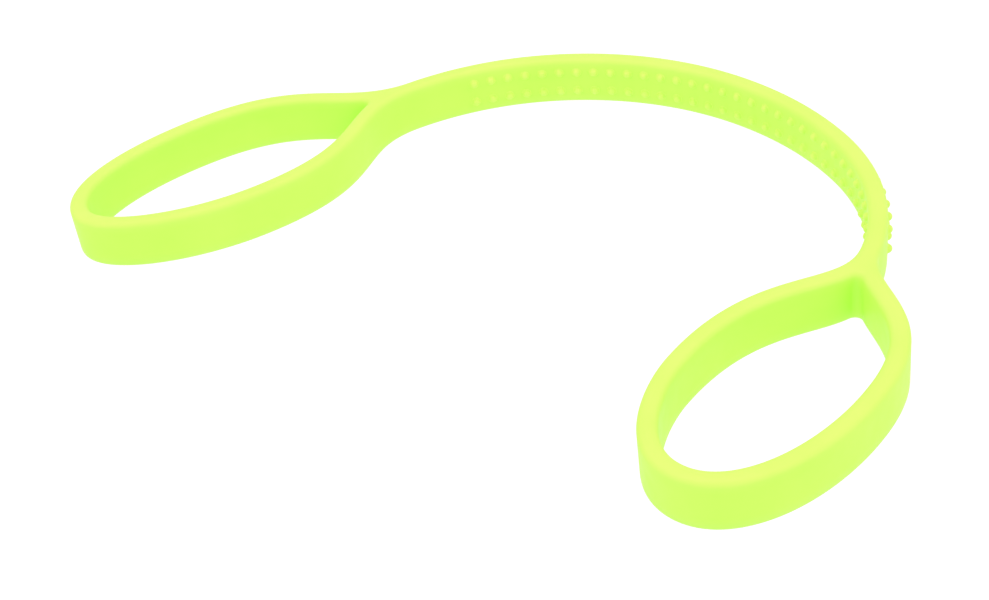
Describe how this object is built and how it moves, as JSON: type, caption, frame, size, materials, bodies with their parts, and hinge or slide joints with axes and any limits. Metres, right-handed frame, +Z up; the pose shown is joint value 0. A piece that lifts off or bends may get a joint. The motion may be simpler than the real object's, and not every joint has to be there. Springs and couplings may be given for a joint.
{
  "type": "silicone wristband",
  "caption": "Flexible band lying on its edge: an arched strap with rows of small nubs on both faces and a pointed-oval loop at each end.",
  "frame": {"origin": "centre of the band's bounding box, on the surface that it lies on", "axes": "+Z up, across the band's width; +X along the longest extent, from the left loop to the arch's right side; +Y from the open side of the arch to its crown"},
  "size_m": [0.1797, 0.1606, 0.012],
  "materials": {
    "silicone": "matte moulded silicone, fluorescent lime, slightly translucent at its edges"
  },
  "bodies": {
    "strap_section_1": {"strap_section_1": "silicone", "inner_nubs_1": "silicone", "outer_nubs_1": "silicone"},
    "strap_section_2": {"strap_section_2": "silicone", "inner_nubs_2": "silicone", "outer_nubs_2": "silicone"},
    "strap_section_3": {"strap_section_3": "silicone", "inner_nubs_3": "silicone", "outer_nubs_3": "silicone"},
    "strap_section_4": {"strap_section_4": "silicone", "inner_nubs_4": "silicone", "outer_nubs_4": "silicone"},
    "strap_section_5": {"strap_section_5": "silicone", "inner_nubs_5": "silicone", "outer_nubs_5": "silicone"},
    "strap_section_6": {"strap_section_6": "silicone", "inner_nubs_6": "silicone", "outer_nubs_6": "silicone"},
    "strap_section_7": {"strap_section_7": "silicone", "inner_nubs_7": "silicone", "outer_nubs_7": "silicone"},
    "strap_section_8": {"strap_section_8": "silicone", "inner_nubs_8": "silicone", "outer_nubs_8": "silicone"},
    "left_neck": {"left_neck": "silicone"},
    "right_neck": {"right_neck": "silicone"},
    "left_loop_inner_near": {"left_loop_inner_near": "silicone"},
    "left_loop_inner_far": {"left_loop_inner_far": "silicone"},
    "left_loop_outer_near": {"left_loop_outer_near": "silicone"},
    "left_loop_outer_far": {"left_loop_outer_far": "silicone"},
    "right_loop_inner_near": {"right_loop_inner_near": "silicone"},
    "right_loop_inner_far": {"right_loop_inner_far": "silicone"},
    "right_loop_outer_near": {"right_loop_outer_near": "silicone"},
    "right_loop_outer_far": {"right_loop_outer_far": "silicone"}
  },
  "joints": [
    {"name": "left_half_bend", "type": "hinge", "parent": "strap_section_4", "child": "strap_section_3", "pos_m": [0.05345, 0.06553, 0.006], "axis": [0, 0, -1], "range_deg": [-6, 13], "stiffness_Nm_per_rad": 0.008},
    {"name": "left_flex_3", "type": "hinge", "parent": "strap_section_3", "child": "strap_section_2", "pos_m": [0.03788, 0.0732, 0.006], "axis": [0, 0, -1], "range_deg": [-6.5, 13.5], "stiffness_Nm_per_rad": 0.008},
    {"name": "left_flex_2", "type": "hinge", "parent": "strap_section_2", "child": "strap_section_1", "pos_m": [0.02093, 0.07693, 0.006], "axis": [0, 0, -1], "range_deg": [-6.8, 14.2], "stiffness_Nm_per_rad": 0.008},
    {"name": "left_flex_1", "type": "hinge", "parent": "strap_section_1", "child": "left_neck", "pos_m": [0.00359, 0.07627, 0.006], "axis": [0, 0, -1], "range_deg": [-8.8, 18.6], "stiffness_Nm_per_rad": 0.008},
    {"name": "right_half_bend", "type": "hinge", "parent": "strap_section_4", "child": "strap_section_5", "pos_m": [0.06673, 0.05434, 0.006], "axis": [0, 0, 1], "range_deg": [-6, 13], "stiffness_Nm_per_rad": 0.008},
    {"name": "right_flex_6", "type": "hinge", "parent": "strap_section_5", "child": "strap_section_6", "pos_m": [0.07709, 0.04041, 0.006], "axis": [0, 0, 1], "range_deg": [-6.3, 13], "stiffness_Nm_per_rad": 0.008},
    {"name": "right_flex_7", "type": "hinge", "parent": "strap_section_6", "child": "strap_section_7", "pos_m": [0.08413, 0.02454, 0.006], "axis": [0, 0, 1], "range_deg": [-7.3, 15.2], "stiffness_Nm_per_rad": 0.008},
    {"name": "right_flex_8", "type": "hinge", "parent": "strap_section_7", "child": "strap_section_8", "pos_m": [0.08683, 0.00741, 0.006], "axis": [0, 0, 1], "range_deg": [-8.6, 18.1], "stiffness_Nm_per_rad": 0.008},
    {"name": "right_flex_9", "type": "hinge", "parent": "strap_section_8", "child": "right_neck", "pos_m": [0.08414, -0.0097, 0.006], "axis": [0, 0, 1], "range_deg": [-9.8, 20.7], "stiffness_Nm_per_rad": 0.008},
    {"name": "left_loop_spread", "type": "hinge", "parent": "left_neck", "child": "left_loop_outer_near", "pos_m": [-0.02886, 0.07315, 0.006], "axis": [0, 0, -1], "range_deg": [-15, 16], "stiffness_Nm_per_rad": 0.0045},
    {"name": "left_outer_wall_bend", "type": "hinge", "parent": "left_loop_outer_near", "child": "left_loop_outer_far", "pos_m": [-0.05946, 0.07103, 0.006], "axis": [0, 0, 1], "range_deg": [-24.9, 26.6], "stiffness_Nm_per_rad": 0.0045},
    {"name": "left_inner_wall_root", "type": "hinge", "parent": "left_neck", "child": "left_loop_inner_near", "pos_m": [-0.02265, 0.05883, 0.006], "axis": [0, 0, 1], "range_deg": [-12.4, 13.1], "stiffness_Nm_per_rad": 0.0045},
    {"name": "left_inner_wall_bend", "type": "hinge", "parent": "left_loop_inner_near", "child": "left_loop_inner_far", "pos_m": [-0.04687, 0.03634, 0.006], "axis": [0, 0, -1], "range_deg": [-24.7, 26.3], "stiffness_Nm_per_rad": 0.0045},
    {"name": "right_loop_spread", "type": "hinge", "parent": "right_neck", "child": "right_loop_outer_near", "pos_m": [0.07954, -0.03404, 0.006], "axis": [0, 0, 1], "range_deg": [-15, 16], "stiffness_Nm_per_rad": 0.0045},
    {"name": "right_outer_wall_bend", "type": "hinge", "parent": "right_loop_outer_near", "child": "right_loop_outer_far", "pos_m": [0.07172, -0.05991, 0.006], "axis": [0, 0, -1], "range_deg": [-24.4, 25.9], "stiffness_Nm_per_rad": 0.0045},
    {"name": "right_inner_wall_root", "type": "hinge", "parent": "right_neck", "child": "right_loop_inner_near", "pos_m": [0.06545, -0.02632, 0.006], "axis": [0, 0, -1], "range_deg": [-10.2, 10.9], "stiffness_Nm_per_rad": 0.0045},
    {"name": "right_inner_wall_bend", "type": "hinge", "parent": "right_loop_inner_near", "child": "right_loop_inner_far", "pos_m": [0.03626, -0.04382, 0.006], "axis": [0, 0, 1], "range_deg": [-23.8, 25.3], "stiffness_Nm_per_rad": 0.0045}
  ],
  "couplings": [
    {"joint": "left_flex_3", "follows": "left_half_bend", "ratio": 1},
    {"joint": "left_flex_2", "follows": "left_half_bend", "ratio": 1.05},
    {"joint": "left_flex_1", "follows": "left_half_bend", "ratio": 1.39},
    {"joint": "right_flex_6", "follows": "right_half_bend", "ratio": 0.96},
    {"joint": "right_flex_7", "follows": "right_half_bend", "ratio": 1.13},
    {"joint": "right_flex_8", "follows": "right_half_bend", "ratio": 1.35},
    {"joint": "right_flex_9", "follows": "right_half_bend", "ratio": 1.55},
    {"joint": "left_outer_wall_bend", "follows": "left_loop_spread", "ratio": 1.63},
    {"joint": "left_inner_wall_root", "follows": "left_loop_spread", "ratio": 0.79},
    {"joint": "left_inner_wall_bend", "follows": "left_loop_spread", "ratio": 1.61},
    {"joint": "right_outer_wall_bend", "follows": "right_loop_spread", "ratio": 1.59},
    {"joint": "right_inner_wall_root", "follows": "right_loop_spread", "ratio": 0.65},
    {"joint": "right_inner_wall_bend", "follows": "right_loop_spread", "ratio": 1.55}
  ]
}
